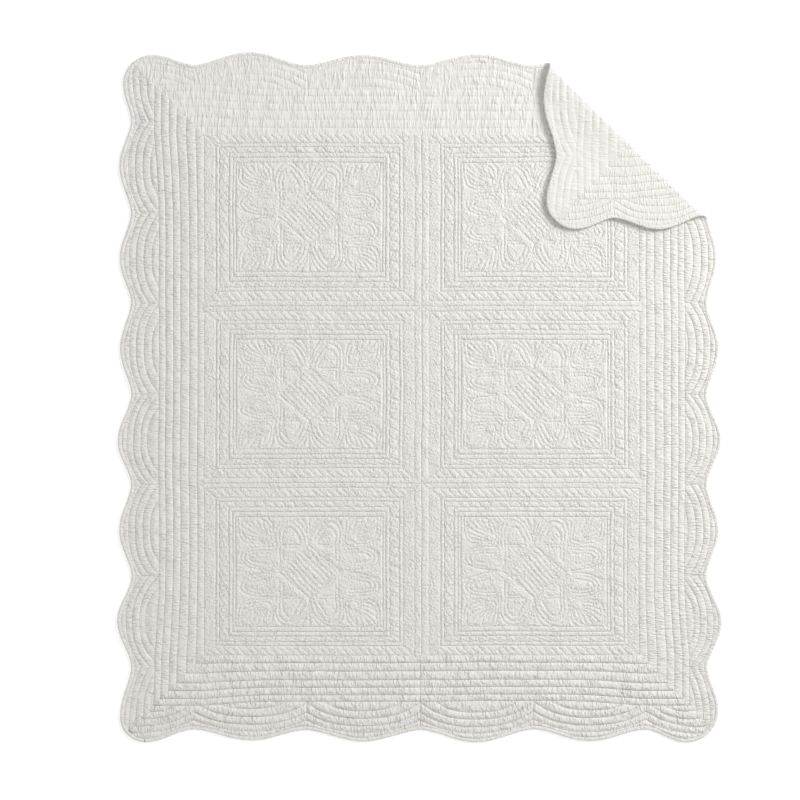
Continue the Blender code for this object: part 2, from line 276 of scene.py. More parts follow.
def puckers(s, across, side, channel):
    """Small gathers that cross a channel, in metres."""
    run = side.run * MM
    slant = s + 0.25 * across + 2.2 * MM * noise(s / (30 * MM), across / (22 * MM), 20)
    fine = noise(slant / (7.5 * MM) + 3.1 * channel, across / run + 0.37 * channel, 21 + side.turn)
    broad = noise(slant / (14 * MM), across / (1.5 * run), 31 + side.turn)
    patch = 0.75 + 0.55 * noise(s / (90 * MM), across / (40 * MM), 41 + side.turn)
    crease = 1 - 2 * np.abs(fine)
    return side.pucker * MM * patch * (0.4 * crease + 0.6 * broad)


def valleys(side):
    """Where two scallops of a side meet, and the thin seam there."""
    first = side.middle * MM - side.pitch * MM * side.full / 2
    return [first + n * side.pitch * MM for n in range(side.full + 1)]


def seam_distance(s, past, side):
    """How far each place is from the thin seams that cross the border where two scallops meet."""
    away = np.full(s.shape, 1.0)
    places = valleys(side)
    for n, place in enumerate(places):
        starts = BORDER_LINES[-1]
        if n in (0, len(places) - 1) or (side.full == 4 and n == 2):
            starts = BORDER_LINES[0] if side.full == 4 else BORDER_LINES[4]
        away = np.minimum(away, np.where(past > starts * MM, np.abs(s - place), 1.0))
    return away


def border_relief(u, v):
    """Height of the border's channels, and the distance to their stitching."""
    height, away = np.full(u.shape, STITCHED), np.full(u.shape, 1.0)
    which = nearest_side(u, v)
    for index, side in enumerate(SIDES):
        mask = which == index
        s, out = side_coordinates(u[mask], v[mask], side.turn)
        lines = border_ladder(index, s)
        level = np.full(s.shape, RIM_TOP)
        seam = seam_distance(s, out - frame_distance(side), side)
        sunk = 1 - 0.7 * np.exp(-(seam / (1.4 * MM)) ** 2)
        for k in range(len(lines) - 1):
            width = lines[k + 1] - lines[k]
            phase = (out - lines[k]) / width
            inside = (phase >= 0) & (phase < 1)
            full = LOFT * side.loft * np.clip(width / (17 * MM), 0, 1.1) ** 0.8
            gathers = puckers(s, out - lines[0], side, k) * np.clip(width / (12 * MM), 0, 1)
            swell = np.maximum(pillow(phase) * (full + gathers), 0) * sunk
            edge = STITCHED
            if k == len(lines) - 2:
                edge = STITCHED + (RIM_TOP - STITCHED) * np.clip(phase, 0, 1)
            level = np.where(inside, edge + swell, level)
        height[mask] = np.where(out < lines[0], STITCHED, level)
        nearest = np.minimum.reduce([np.abs(out - line) for line in lines[:-1]] + [seam])
        # At the head the distance is raised by 0.9 mm, so its grooves are shallower and their painted shade
        # fainter
        away[mask] = nearest + (0.9 * MM if side.name == "head" else 0)
    return height, away


def smooth_line(points, closed, steps=5):
    """Points of a soft curve through the given ones, in metres."""
    pts = np.array(points, float) * MM
    count = len(pts)
    spans = count if closed else count - 1
    if count < 4 and not closed:
        return pts
    curve = []
    for i in range(spans):
        if closed:
            p0, p1, p2, p3 = (pts[(i + k - 1) % count] for k in range(4))
        else:
            p0, p1, p2, p3 = (pts[min(max(i + k - 1, 0), count - 1)] for k in range(4))
        for t in np.arange(steps) / steps:
            curve.append(0.5 * (2 * p1 + (p2 - p0) * t + (2 * p0 - 5 * p1 + 4 * p2 - p3) * t ** 2
                                + (3 * p1 - p0 - 3 * p2 + p3) * t ** 3))
    curve.append(curve[0] if closed else pts[-1])
    return np.array(curve)


def medallion_lines():
    """Every stitched line of a medallion's quarter, with the leaf's veins fanning from its stem."""
    lines = [smooth_line(m.points, m.closed) for m in MEDALLION]
    stem = np.array(LEAF_STEM, float) * MM
    for tip in LEAF_VEINS:
        end = np.array(tip, float) * MM
        bend = (stem * 0.35 + end * 0.65) + np.array((end[1] - stem[1], stem[0] - end[0])) * 0.05
        start = stem + (end - stem) * 0.3
        lines.append(np.array((start, bend, end)))
    return lines


def distance_to(lines, x, y):
    """Distance from each point to the nearest of the lines."""
    best = np.full(x.shape, 1.0)
    for points in lines:
        for (ax, ay), (bx, by) in zip(points[:-1], points[1:]):
            dx, dy = bx - ax, by - ay
            t = np.clip(((x - ax) * dx + (y - ay) * dy) / (dx * dx + dy * dy + 1e-12), 0, 1)
            best = np.minimum(best, np.hypot(x - ax - t * dx, y - ay - t * dy))
    return best


MEDALLION_LINES = medallion_lines()


def stripes(place, pitch):
    """0 between stitched stripes and 1 on one, and the distance to it."""
    on = np.abs((place / pitch) % 1 - 0.5) * 2
    return on, (1 - on) / 2 * pitch * 0.73


def hatch(x, y):
    """Squares of crossed quilting in a medallion's middle."""
    bold, bold_away = stripes(x + 0.92 * y, 15.5 * MM)
    light, light_away = stripes(x - 0.92 * y, 15.5 * MM)
    return (1 - 0.95 * bold ** 4) * (1 - 0.6 * light ** 6), np.minimum(bold_away, light_away + 0.3 * MM)


def medallion_relief(x, y, place):
    """Leaves, paired lobes and a crossed diamond, from 0 on a stitched line to 1 on top."""
    place_x = x + 1.5 * MM * noise(x / (24 * MM) + place[0], y / (24 * MM) + place[1], 71)
    place_y = y + 1.5 * MM * noise(x / (22 * MM) + place[0], y / (26 * MM) + place[1], 72)
    place_x += 0.7 * MM * noise(x / (8 * MM) + place[0], y / (8 * MM), 73)
    place_y += 0.7 * MM * noise(x / (8 * MM), y / (8 * MM) + place[1], 74)
    mirrored_x, mirrored_y = np.abs(place_x), np.abs(place_y)
    away = distance_to(MEDALLION_LINES, mirrored_x, mirrored_y)
    swell = 1 - 0.95 * np.exp(-(away / (2.1 * MM)) ** 1.3)
    in_diamond = mirrored_x / (76 * MM) + mirrored_y / (64 * MM) < 1
    crossed, crossed_away = hatch(place_x, place_y)
    return (np.where(in_diamond, np.minimum(swell, crossed), swell),
            np.where(in_diamond, np.minimum(away, crossed_away), away))


def chain(s, across, width, pitch=25.0 * MM):
    """Linked slanting ovals along a channel."""
    middle = across / width - 0.5
    turn = s / pitch + 0.55 * middle
    wave = 0.42 * np.cos(np.pi * turn)
    gap = np.minimum(np.abs(middle - wave), np.abs(middle + wave)) * width
    return 1 - np.exp(-(gap / (2.6 * MM)) ** 1.2), gap


def block_relief(x, y, place):
    """One block from its middle: its rings of channels and chain, and the medallion inside them."""
    a, b = BLOCK_HALF_ACROSS - np.abs(x), BLOCK_HALF_ALONG - np.abs(y)
    table_a, table_b = np.array(RINGS_ACROSS) * MM, np.array(RINGS_ALONG) * MM
    rank = np.arange(len(table_a))
    qa = np.interp(a, table_a, rank) + np.where(a > table_a[-1], (a - table_a[-1]) / (9 * MM), 0)
    qb = np.interp(b, table_b, rank) + np.where(b > table_b[-1], (b - table_b[-1]) / (9 * MM), 0)
    q, upright = np.minimum(qa, qb), qa < qb
    along, inward = np.where(upright, y, x), np.where(upright, a, b)
    k = np.clip(np.floor(q), 0, 3).astype(int)
    widths = np.where(upright, np.diff(table_a)[k], np.diff(table_b)[k])
    swell = pillow(q - k) * np.clip(widths / (15 * MM), 0, 1) ** 0.7
    away = np.minimum(q - k, k + 1 - q) * widths
    starts = np.where(upright, table_a[k], table_b[k])
    linked, gap = chain(along, inward - starts, widths)
    swell = np.where(k == 1, np.minimum(swell * 1.5, 1) * (0.15 + 0.85 * linked), swell)
    away = np.where(k == 1, np.minimum(away, gap), away)
    field, field_away = medallion_relief(x, y, place)
    swell = np.where(q >= 4, np.minimum(field, np.clip((q - 4) * 3, 0, 1)), swell)
    away = np.where(q >= 4, np.minimum(field_away, (q - 4) * 9 * MM), away)
    return swell, away, (a < 0) | (b < 0)


def band_relief(x, y):
    """The bands of slanting quilting round the blocks, and the double channels between them."""
    across, along = np.maximum(np.abs(x) - BLOCK_HALF_ACROSS, 0), np.maximum(np.abs(y) - BLOCK_HALF_ALONG, 0)
    upright = across / (BAND_ACROSS * MM) > along / (BAND_ALONG * MM)
    past = np.where(upright, across, along)
    band = np.where(upright, BAND_ACROSS * MM, BAND_ALONG * MM)
    fine, fine_away = stripes(y - 0.75 * x, 9.5 * MM)
    rope, rope_away = stripes(x + 0.95 * y, 20 * MM)
    slant = np.where(upright, 0.8 - 0.5 * fine ** 3, 1 - 0.9 * rope ** 4)
    channel = np.where(upright, 17.8 * MM, 13.6 * MM)
    double = pillow((past - band) / channel) * 0.85
    swell = np.where(past < band, pillow(past / band, 8) * slant * 0.9, double)
    edges = np.minimum.reduce([past, np.abs(past - band), np.abs(past - band - channel)])
    mitre = np.abs(across / (BAND_ACROSS * MM) - along / (BAND_ALONG * MM)) * 18 * MM
    swell *= 1 - 0.6 * np.exp(-(mitre / (1.6 * MM)) ** 2)
    slant_away = np.where(upright, fine_away + 0.3 * MM, rope_away)
    return swell, np.minimum.reduce([edges, mitre, np.where(past < band, slant_away, 1.0)])


def field_relief(u, v):
    """Height of the six blocks and their bands, and the distance to their stitching."""
    column = np.where(u > 0, 0.5, -0.5)
    row = np.clip(np.round((v - ROW_SHIFT) / ROW_PITCH), -1, 1)
    x, y = u - column * COLUMN_PITCH, v - row * ROW_PITCH - ROW_SHIFT
    swell, away, outside = block_relief(x, y, (7 * column, 5 * row))
    band_swell, band_away = band_relief(x, y)
    swell, away = np.where(outside, band_swell, swell), np.where(outside, band_away, away)
    wrinkle = 0.55 * noise(u / (6 * MM), v / (17 * MM), 3) + 0.45 * noise(u / (13 * MM), v / (24 * MM), 4)
    wrinkle *= 0.5 * MM * (0.8 + 0.5 * noise(u / (80 * MM), v / (60 * MM), 5))
    return STITCHED + LOFT * 0.85 * swell + wrinkle * np.clip(swell * 2, 0, 1), away


def relief(u, v):
    """Height of the quilt's face above its underside, and the distance to the nearest stitching."""
    in_field = (np.abs(u) <= FRAME_ACROSS) & (np.abs(v) <= FRAME_ALONG)
    height, away = np.empty(u.shape), np.empty(u.shape)
    height[in_field], away[in_field] = field_relief(u[in_field], v[in_field])
    height[~in_field], away[~in_field] = border_relief(u[~in_field], v[~in_field])
    rim = edge_inset(u, v) < BINDING_WIDTH
    height[rim] = RIM_TOP
    return height, away


def back_relief(u, v, top):
    """The underside sinks in along the stitched lines, as the face does."""
    swell = np.clip((top - STITCHED) / LOFT, 0, 1)
    height = BACK_SINK * (1 - swell)
    rim = edge_inset(u, v) < BINDING_REACH
    return np.where(rim, RIM_UNDER, height)


FOLD_ALONG = (FOLD_TO - FOLD_FROM).normalized()
FOLD_OUT = Vector((-FOLD_ALONG.y, FOLD_ALONG.x, 0))


def fold_coordinates(u, v):
    """Place along the fold, and distance past it into the corner that turns over."""
    du, dv = u - FOLD_FROM.x, v - FOLD_FROM.y
    return du * FOLD_ALONG.x + dv * FOLD_ALONG.y, du * FOLD_OUT.x + dv * FOLD_OUT.y


def roll_radius(at):
    """The roll is fuller at the head end and tighter at the side."""
    return ROLL_FROM + (ROLL_TO - ROLL_FROM) * at / (FOLD_TO - FOLD_FROM).length


def cloth_centre():
    """The middle of the outline as it lies, which is the model's origin."""
    limits = []
    for index, side in enumerate(SIDES):
        s = np.linspace(-0.9, 0.9, 3601)
        out = scallop_out(index, s)
        lying = fold_coordinates(*from_side(s, out, side.turn))[1] < 0
        limits.append(out[lying].max())
    foot, right, head, left = limits
    return (right - left) / 2, (head - foot) / 2


CENTRE = cloth_centre()


def wander(u, v):
    """Slow unevenness in how the cloth lies."""
    du = 1.6 * MM * noise(u / 0.21 + 5, v / 0.16, 51) + 0.7 * MM * noise(u / 0.06, v / 0.05, 52)
    dv = 1.6 * MM * noise(u / 0.19 + 9, v / 0.2, 53) + 0.7 * MM * noise(u / 0.05, v / 0.06, 54)
    return u + du, v + dv


def lay(u, v, height):
    """Flat cloth to the model's frame, with the corner rolled over."""
    u, v = wander(u, v)
    at, past = fold_coordinates(u, v)
    radius = roll_radius(at)
    neutral = radius - 1.5 * MM
    travelled = past + radius
    angle = np.clip(travelled / neutral, 0, np.pi)
    rest = np.maximum(travelled - np.pi * neutral, 0)
    share = np.clip(rest / SETTLE_OVER, 0, 1)
    lift = 2 * radius + (SETTLED - 2 * radius) * share * share * (3 - 2 * share)
    rolled_out = np.where(angle < np.pi, (radius - height) * np.sin(angle) - radius, -radius - rest)
    rolled_up = np.where(angle < np.pi, radius - (radius - height) * np.cos(angle), lift - height)
    over = travelled > 0
    out = np.where(over, rolled_out, past)
    up = np.where(over, rolled_up, height)
    x = FOLD_FROM.x + at * FOLD_ALONG.x + out * FOLD_OUT.x - CENTRE[0]
    y = FOLD_FROM.y + at * FOLD_ALONG.y + out * FOLD_OUT.y - CENTRE[1]
    return np.stack([x, y, up], axis=-1)


def steps_between(breaks, step):
    """Even steps between each two breaks, with a line on every break."""
    lines = []
    for start, end in zip(breaks[:-1], breaks[1:]):
        count = max(1, round((end - start) / step))
        lines += [start + (end - start) * i / count for i in range(count)]
    return np.array(lines + [breaks[-1]])


# Where the mesh's lines that follow the scallops' echoes start from, as shares of the scallops' zone
ZONE_SHARES = (0.0, 0.14, 0.33, 0.53, 0.74, 0.885, 0.985)


def zone_lines(side):
    """Mesh lines across a side's scallops before they are bent to follow them."""
    start = frame_distance(side) + BORDER_LINES[-1] * MM
    return [start + (side_distance(side) - start) * share for share in ZONE_SHARES]


def flared(out, s, side):
    """Moves the mesh's straight lines out with the border's lines as they near a corner."""
    past = (out - frame_distance(side)) / MM
    other = FRAME_ACROSS if side.name in ("foot", "head") else FRAME_ALONG
    near_corner = np.clip((np.abs(s) - other + FLARE_OVER) / FLARE_OVER, 0, 1) ** 2
    end = (side_distance(side) - frame_distance(side)) / MM
    flare = np.interp(past, (*BORDER_LINES, end), (*CORNER_FLARE, 0.0))
    return out + np.where(past > 0, flare * near_corner * MM, 0)


def follow_scallops(u, v):
    """Bends the mesh's lines to the stitched ones: the flare at the corners, then each scallop's echoes."""
    which = nearest_side(u, v)
    moved_u, moved_v = u.copy(), v.copy()
    for side in SIDES:
        s, out = side_coordinates(u, v, side.turn)
        shift = flared(out, s, side) - out
        du, dv = from_side(0 * s, shift, side.turn)
        moved_u, moved_v = moved_u + du, moved_v + dv
    bent_u, bent_v = moved_u.copy(), moved_v.copy()
    for index, side in enumerate(SIDES):
        s, out = side_coordinates(moved_u, moved_v, side.turn)
        plain_s, plain = side_coordinates(u, v, side.turn)
        ladder = border_ladder(index, s)[len(BORDER_LINES) - 1:]
        ladder.append(scallop_out(index, s) - EDGE_GAP)
        ladder.append(scallop_out(index, s) + PAST_EDGE)
        straight = zone_lines(side) + [side_distance(side) + PAST_EDGE]
        other = FRAME_ACROSS if side.name in ("foot", "head") else FRAME_ALONG
        mitre = plain - frame_distance(side) + other - np.abs(plain_s)
        bent = out.copy()
        for k in range(len(straight) - 1):
            t = (plain - straight[k]) / (straight[k + 1] - straight[k])
            here = (t >= 0) & (t < 1)
            bent = np.where(here, ladder[k] + t * (ladder[k + 1] - ladder[k]), bent)
        du, dv = from_side(0 * s, (bent - out) * np.clip(1 + mitre / MITRE_EASE, 0, 1), side.turn)
        bent_u, bent_v = bent_u + du, bent_v + dv
    for index, side in enumerate(SIDES):
        mask = which == index
        s, out = side_coordinates(bent_u[mask], bent_v[mask], side.turn)
        for line in border_ladder(index, s)[:-1]:
            out = np.where(np.abs(line - out) < SNAP, line, out)
        bent_u[mask], bent_v[mask] = from_side(s, out, side.turn)
    return bent_u, bent_v


def with_grooves(lines, least=6 * MM):
    """The lines, and one close on each side of each, so that a stitched groove stays narrow."""
    found = set(lines)
    for a, b in zip(lines[:-1], lines[1:]):
        if b - a > least:
            found |= {a + GROOVE, b - GROOVE}
    return sorted(found)


def mesh_object(name, points, faces, uv, material, values=None):
    """A smooth piece with its cloth coordinates as its UV map, and its values at each point."""
    mesh = bpy.data.meshes.new(name)
    mesh.from_pydata(points, [], faces)
    for label, numbers in (values or {}).items():
        mesh.attributes.new(label, "FLOAT", "POINT").data.foreach_set("value", numbers.astype(np.float32))
    layer = mesh.uv_layers.new(name="Cloth")
    corner = np.empty(len(mesh.loops), np.int32)
    mesh.loops.foreach_get("vertex_index", corner)
    layer.data.foreach_set("uv", np.asarray(uv, np.float32)[corner].ravel())
    mesh.materials.append(material)
    mesh.shade_smooth()
    mesh.set_sharp_from_angle(angle=math.radians(68))
    mesh.update()
    piece = bpy.data.objects.new(name, mesh)
    bpy.context.scene.collection.objects.link(piece)
    return piece


def region_edges(region):
    """Grid edges round a set of cells, each as two (row, column) points with the cells on its left."""
    padded = np.pad(region, 1)
    core = padded[1:-1, 1:-1]
    beyond = (padded[:-2, 1:-1], padded[1:-1, 2:], padded[2:, 1:-1], padded[1:-1, :-2])
    corners = ((0, 0), (0, 1), (1, 1), (1, 0))
    found = []
    for k, past in enumerate(beyond):
        (r0, c0), (r1, c1) = corners[k], corners[(k + 1) % 4]
        found += [((r + r0, c + c0), (r + r1, c + c1)) for r, c in zip(*np.nonzero(core & ~past))]
    return found


def quilt_piece(name, us, vs, material, hole=None, snap=None):
    """A closed length of quilt on a grid of across and along lines."""
    u, v = np.meshgrid(us, vs)
    centre_u, centre_v = (u[:-1, :-1] + u[1:, 1:]) / 2, (v[:-1, :-1] + v[1:, 1:]) / 2
    placed_u, placed_v = snap(u, v) if snap else (u, v)
    clear = edge_inset(placed_u, placed_v) > 1.4 * MM
    kept = clear[:-1, :-1] & clear[1:, :-1] & clear[:-1, 1:] & clear[1:, 1:]
    if hole:
        kept &= ~((np.abs(centre_u) < hole[0]) & (np.abs(centre_v) < hole[1]))
    turned = fold_coordinates(u, v)[1] > -roll_radius(fold_coordinates(u, v)[0]) - 8 * MM
    fine = kept & turned[:-1, :-1] & turned[1:, :-1] & turned[:-1, 1:] & turned[1:, 1:]
    plain = kept & ~fine
    number = np.arange(u.size).reshape(u.shape)

    def quads(cells, reverse):
        r, c = np.nonzero(cells)
        ring = [number[r, c], number[r, c + 1], number[r + 1, c + 1], number[r + 1, c]]
        return np.stack(ring[::-1] if reverse else ring, axis=1)

    edges = region_edges(plain)
    corners = sorted({p for e in edges for p in e})
    index = {p: i for i, p in enumerate(corners)}
    flat = [Vector((us[c], vs[r])) for r, c in corners]
    net = delaunay_2d_cdt(flat, [(index[a], index[b]) for a, b in edges], [], 0, 1e-7)
    under_tris = []
    for tri in net[2]:
        ids = [net[3][i][0] for i in tri]
        mid_u = sum(flat[i].x for i in ids) / 3
        mid_v = sum(flat[i].y for i in ids) / 3
        c, r = np.searchsorted(us, mid_u) - 1, np.searchsorted(vs, mid_v) - 1
        if plain[min(r, plain.shape[0] - 1), min(c, plain.shape[1] - 1)]:
            under_tris.append([number[corners[i]] for i in reversed(ids)])

    shift = u.size
    faces = quads(kept, False).tolist()
    faces += (quads(fine, True) + shift).tolist()
    faces += [[i + shift for i in tri] for tri in under_tris]
    for a, b in region_edges(kept):
        faces.append([number[b], number[a], number[a] + shift, number[b] + shift])

    uu, vv = placed_u.ravel(), placed_v.ravel()
    top, away = relief(uu, vv)
    under = np.where(turned.ravel(), back_relief(uu, vv, top), 0.0)
    under = np.where(edge_inset(uu, vv) < BINDING_REACH, RIM_UNDER, under)
    points = np.concatenate([lay(uu, vv, top), lay(uu, vv, under)])
    uv = np.concatenate([np.stack([uu, vv], 1), np.stack([uu, vv], 1)])
    used = np.unique(np.concatenate([np.asarray(f) for f in faces]))
    renumber = np.full(len(points), -1)
    renumber[used] = np.arange(len(used))
    faces = [renumber[f].tolist() for f in map(np.asarray, faces)]
    # Stitch_away: distance to the stitching in mm, which sets the grooves' bump and the painted shade along
    # them
    values = {"Stitch_away": np.tile(np.clip(away / MM, 0, 9), 2)[used],
              "Creased": np.repeat((1.0, 0.6), u.size)[used]}
    return mesh_object(name, points[used].tolist(), faces, uv[used], material, values)


def border_lines(side, opposite, crossing):
    """Mesh lines across the whole quilt: channels, scallops' zone and the seams that cross the middle."""
    distance = frame_distance(side)
    channels = with_grooves([distance + line * MM for line in BORDER_LINES])
    fine = steps_between(channels, CHANNEL_STEP)
    outward = np.concatenate([fine[:-1], steps_between(with_grooves(zone_lines(side)), SCALLOP_STEP)])
    back = np.concatenate([fine[:-1], steps_between(with_grooves(zone_lines(opposite)), SCALLOP_STEP)])
    seams = [place for place in crossing if abs(place) < distance - 5 * MM]
    middle = with_grooves([-distance] + seams + [distance])
    return np.concatenate([-back[::-1][:-1], steps_between(middle, ALONG_STEP), outward[1:]])


def border_piece(material):
    """The wide border, all round, with its hole for the blocks."""
    foot, right, head, left = SIDES
    us = border_lines(right, left, valleys(foot))
    vs = border_lines(head, foot, valleys(right))
    return quilt_piece("Quilt_border", us, vs, material, (FRAME_ACROSS, FRAME_ALONG), follow_scallops)


def mirrored(table, half):
    """A table of insets from both edges of a block, as places from its middle."""
    return sorted({round(sign * (half - t * MM), 6) for t in table for sign in (-1, 1)})


def block_piece(row, column, material):
    """One of the six blocks with its share of the bands round it."""
    side = "left" if column < 0 else "right"
    name = f"Quilt_{('foot', 'middle', 'head')[row + 1]}_{side}"
    u0, v0 = column * COLUMN_PITCH, row * ROW_PITCH + ROW_SHIFT
    u_limits = sorted((0.0, math.copysign(FRAME_ACROSS, column)))
    low = -FRAME_ALONG if row < 0 else (row - 0.5) * ROW_PITCH + ROW_SHIFT
    high = FRAME_ALONG if row > 0 else (row + 0.5) * ROW_PITCH + ROW_SHIFT
    across = [u0 + x for x in mirrored(RINGS_ACROSS, BLOCK_HALF_ACROSS)]
    along = [v0 + y for y in mirrored(RINGS_ALONG, BLOCK_HALF_ALONG)]
    us = steps_between(with_grooves([u_limits[0]] + across + [u_limits[1]]), BLOCK_STEP)
    vs = steps_between(with_grooves([low] + along + [high]), BLOCK_STEP)
    return quilt_piece(name, us, vs, material)


def node(tree, kind, inputs=None, **settings):
    """A shader node with its settings, and its inputs linked or set."""
    made = tree.nodes.new(kind)
    for name, value in settings.items():
        setattr(made, name, value)
    for key, value in (inputs or {}).items():
        if isinstance(value, bpy.types.NodeSocket):
            tree.links.new(value, made.inputs[key])
        else:
            made.inputs[key].default_value = value
    return made


def maths(tree, operation, a, b=0.0, c=0.0):
    """The result of a maths node."""
    return node(tree, "ShaderNodeMath", {0: a, 1: b, 2: c}, operation=operation).outputs[0]


def uneven(tree, place, scale, detail, **settings):
    """A noise texture's value."""
    inputs = {"Vector": place, "Scale": scale, "Detail": detail, **settings}
    return node(tree, "ShaderNodeTexNoise", inputs).outputs[0]


def group(name, inputs, outputs, family="ShaderNodeTree"):
    """A node group with its named inputs and outputs."""
    tree = bpy.data.node_groups.new(name, family)
    for label, kind in inputs:
        tree.interface.new_socket(label, in_out="INPUT", socket_type=kind)
    for label, kind in outputs:
        tree.interface.new_socket(label, in_out="OUTPUT", socket_type=kind)
    return tree, tree.nodes.new("NodeGroupInput").outputs, tree.nodes.new("NodeGroupOutput").inputs


def crinkle_group():
    """Washed cotton's small creases: puffs with sharp folds between them, longer one way than the other."""
    sockets = (("Cloth", "NodeSocketVector"), ("Across", "NodeSocketFloat"), ("Along", "NodeSocketFloat"))
    tree, given, result = group("Washed_creases", sockets, (("Height", "NodeSocketFloat"),))
    parts = node(tree, "ShaderNodeSeparateXYZ", {0: given["Cloth"]}).outputs
    x = maths(tree, "DIVIDE", parts[0], given["Across"])
    y = maths(tree, "DIVIDE", parts[1], given["Along"])
    place = node(tree, "ShaderNodeCombineXYZ", {0: x, 1: y}).outputs[0]
    puffs = uneven(tree, place, 1.0, 1.5, Roughness=0.6, Distortion=0.4)
    fold = maths(tree, "ABSOLUTE", maths(tree, "SUBTRACT", puffs, 0.5))
    least = maths(tree, "MINIMUM", given["Across"], given["Along"])
    height = maths(tree, "ADD", maths(tree, "MULTIPLY", fold, 0.35), puffs)
    patch = uneven(tree, given["Cloth"], 28.0, 1.0)
    strength = maths(tree, "ADD", 0.25, maths(tree, "MULTIPLY", patch, 1.5))
    height = maths(tree, "MULTIPLY", height, strength)
    tree.links.new(maths(tree, "MULTIPLY", height, least), result["Height"])
    return tree


def weave_group():
    """Plain weave: threads over and under, and their slubs."""
    sockets = (("Cloth", "NodeSocketVector"), ("Threads", "NodeSocketFloat"))
    results = (("Height", "NodeSocketFloat"), ("Tone", "NodeSocketFloat"))
    tree, given, result = group("Plain_weave", sockets, results)
    parts = node(tree, "ShaderNodeSeparateXYZ", {0: given["Cloth"]}).outputs
    waves = []
    for part in parts[:2]:
        counted = maths(tree, "MULTIPLY", part, given["Threads"])
        waves.append(maths(tree, "SINE", maths(tree, "MULTIPLY", counted, 2 * math.pi)))
    over = maths(tree, "MULTIPLY", waves[0], waves[1])
    slub = uneven(tree, given["Cloth"], 330.0, 3.0, Roughness=0.6)
    tree.links.new(maths(tree, "ADD", maths(tree, "MULTIPLY", over, 0.5), slub), result["Height"])
    cloudy = maths(tree, "MULTIPLY", uneven(tree, given["Cloth"], 9.0, 4.0), 0.7)
    tree.links.new(maths(tree, "ADD", cloudy, maths(tree, "MULTIPLY", slub, 0.3)), result["Tone"])
    return tree


def use_group(tree, made, inputs):
    """A shader group placed in a material with its own values."""
    return node(tree, "ShaderNodeGroup", inputs, node_tree=made).outputs


def plain_paint(name, colour, roughness):
    """The studio floor's finish."""
    made = bpy.data.materials.new(name)
    made.use_nodes = True
    shader = made.node_tree.nodes["Principled BSDF"]
    shader.inputs["Base Color"].default_value = (*colour, 1)
    shader.inputs["Roughness"].default_value = roughness
    return made


# Creases in each part of the cloth: how long and how close together, in mm, and how deep
Crease = namedtuple("Crease", "name across along depth")
CREASES = (
    Crease("sides", 14.0, 4.4, 1.05),
    Crease("foot", 6.2, 13.0, 1.05),
    Crease("head", 5.6, 26.0, 0.65),
    Crease("blocks", 6.0, 6.4, 0.7),
)


def crease_height(tree, cloth, creases):
    """Creases that run across each border's channels, and every way in the blocks."""
    parts = node(tree, "ShaderNodeSeparateXYZ", {0: cloth}).outputs
    past_side = maths(tree, "SUBTRACT", maths(tree, "ABSOLUTE", parts[0]), FRAME_ACROSS)
    past_end = maths(tree, "SUBTRACT", maths(tree, "ABSOLUTE", parts[1]), FRAME_ALONG)
    in_border = maths(tree, "GREATER_THAN", maths(tree, "MAXIMUM", past_side, past_end), 0.0)
    side_nearer = maths(tree, "GREATER_THAN", past_side, past_end)
    head_end = maths(tree, "GREATER_THAN", parts[1], 0.0)
    level = {}
    for crease in CREASES:
        size = {"Across": crease.across * MM, "Along": crease.along * MM}
        made = use_group(tree, creases, {"Cloth": cloth, **size})
        level[crease.name] = maths(tree, "MULTIPLY", made["Height"], crease.depth)

    def pick(share, low, high):
        return node(tree, "ShaderNodeMix", {0: share, 2: low, 3: high}, data_type="FLOAT").outputs[0]

    border = pick(side_nearer, pick(head_end, level["foot"], level["head"]), level["sides"])
    return pick(in_border, level["blocks"], border)


def cotton(name, colour, roughness, creases, weave, creased):
    """Washed cotton of one colour, its weave, slubs and creases, and painted shade at the quilt's stitching.
    """
    made = bpy.data.materials.new(name)
    made.use_nodes = True
    tree = made.node_tree
    shader = tree.nodes["Principled BSDF"]
    cloth = node(tree, "ShaderNodeUVMap", uv_map="Cloth").outputs[0]
    woven = use_group(tree, weave, {"Cloth": cloth, "Threads": 900.0})
    height = maths(tree, "MULTIPLY", woven["Height"], 0.03 * MM)
    shade = 0.0
    if creased:
        share = node(tree, "ShaderNodeAttribute", attribute_name="Creased").outputs["Fac"]
        folds = crease_height(tree, cloth, creases)
        height = maths(tree, "ADD", height, maths(tree, "MULTIPLY", folds, share))
        away = node(tree, "ShaderNodeAttribute", attribute_name="Stitch_away").outputs["Fac"]
        near = maths(tree, "MAXIMUM", maths(tree, "SUBTRACT", 1.0, maths(tree, "DIVIDE", away, 1.7)), 0.0)
        stitched = maths(tree, "POWER", near, 1.5)
        height = maths(tree, "SUBTRACT", height, maths(tree, "MULTIPLY", stitched, 0.75 * MM))
        # Painted shade: the colour darkens near the stitched lines, where their grooves lie in shade
        shade = maths(tree, "MULTIPLY", stitched, 0.5)
    else:
        small = use_group(tree, creases, {"Cloth": cloth, "Across": 4.5 * MM, "Along": 9 * MM})["Height"]
        height = maths(tree, "ADD", height, maths(tree, "MULTIPLY", small, 0.7))
    bump = node(tree, "ShaderNodeBump", {"Height": height, "Strength": 1.0, "Distance": 1.0})
    tree.links.new(bump.outputs[0], shader.inputs["Normal"])
    light = [min(c * 1.04, 1) for c in colour]
    dark = [c * 0.94 for c in colour]
    # Tone: random cloudiness and slubs, less the painted shade at the stitching
    lightness = maths(tree, "SUBTRACT", woven["Tone"], shade)
    tone = node(tree, "ShaderNodeMix", {0: lightness, 6: (*dark, 1), 7: (*light, 1)}, data_type="RGBA")
    tree.links.new(tone.outputs[2], shader.inputs["Base Color"])
    shader.inputs["Roughness"].default_value = roughness
    shader.inputs["Specular IOR Level"].default_value = 0.25
    shader.inputs["Sheen Weight"].default_value = 0.12
    shader.inputs["Sheen Roughness"].default_value = 0.5
    return made


